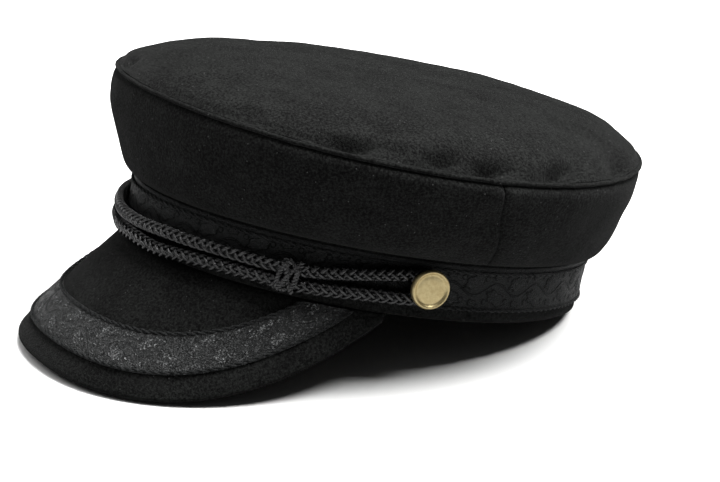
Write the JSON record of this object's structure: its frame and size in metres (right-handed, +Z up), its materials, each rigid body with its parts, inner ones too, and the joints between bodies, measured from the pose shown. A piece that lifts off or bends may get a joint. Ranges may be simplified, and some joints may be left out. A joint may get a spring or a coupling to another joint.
{
  "type": "military-style peaked cap",
  "caption": "Soft peaked cap of dark wool cloth with a puffed crown, ribbon-trimmed band and peak, braided chin cord and brass buttons.",
  "frame": {"origin": "on the ground under the middle of the cap's outline", "axes": "+Z up, -Y towards the peak, +X towards the wearer's left"},
  "size_m": [0.2362, 0.2666, 0.1189],
  "materials": {
    "wool_cloth": "brushed wool, matt",
    "woven_ribbon": "woven, slight sheen",
    "braided_cord": "braided, soft shine",
    "pale_brass": "worn, satin"
  },
  "bodies": {
    "root": {"crown_top": "wool_cloth", "crown_welt": "wool_cloth", "crown_side_front": "wool_cloth", "crown_side_back": "wool_cloth", "cap_band": "wool_cloth", "band_ribbon": "woven_ribbon", "peak": "wool_cloth", "peak_ribbon": "woven_ribbon", "chin_cord": "braided_cord", "knot_left": "braided_cord", "knot_right": "braided_cord", "button_left": "pale_brass", "button_right": "pale_brass"}
  },
  "joints": []
}
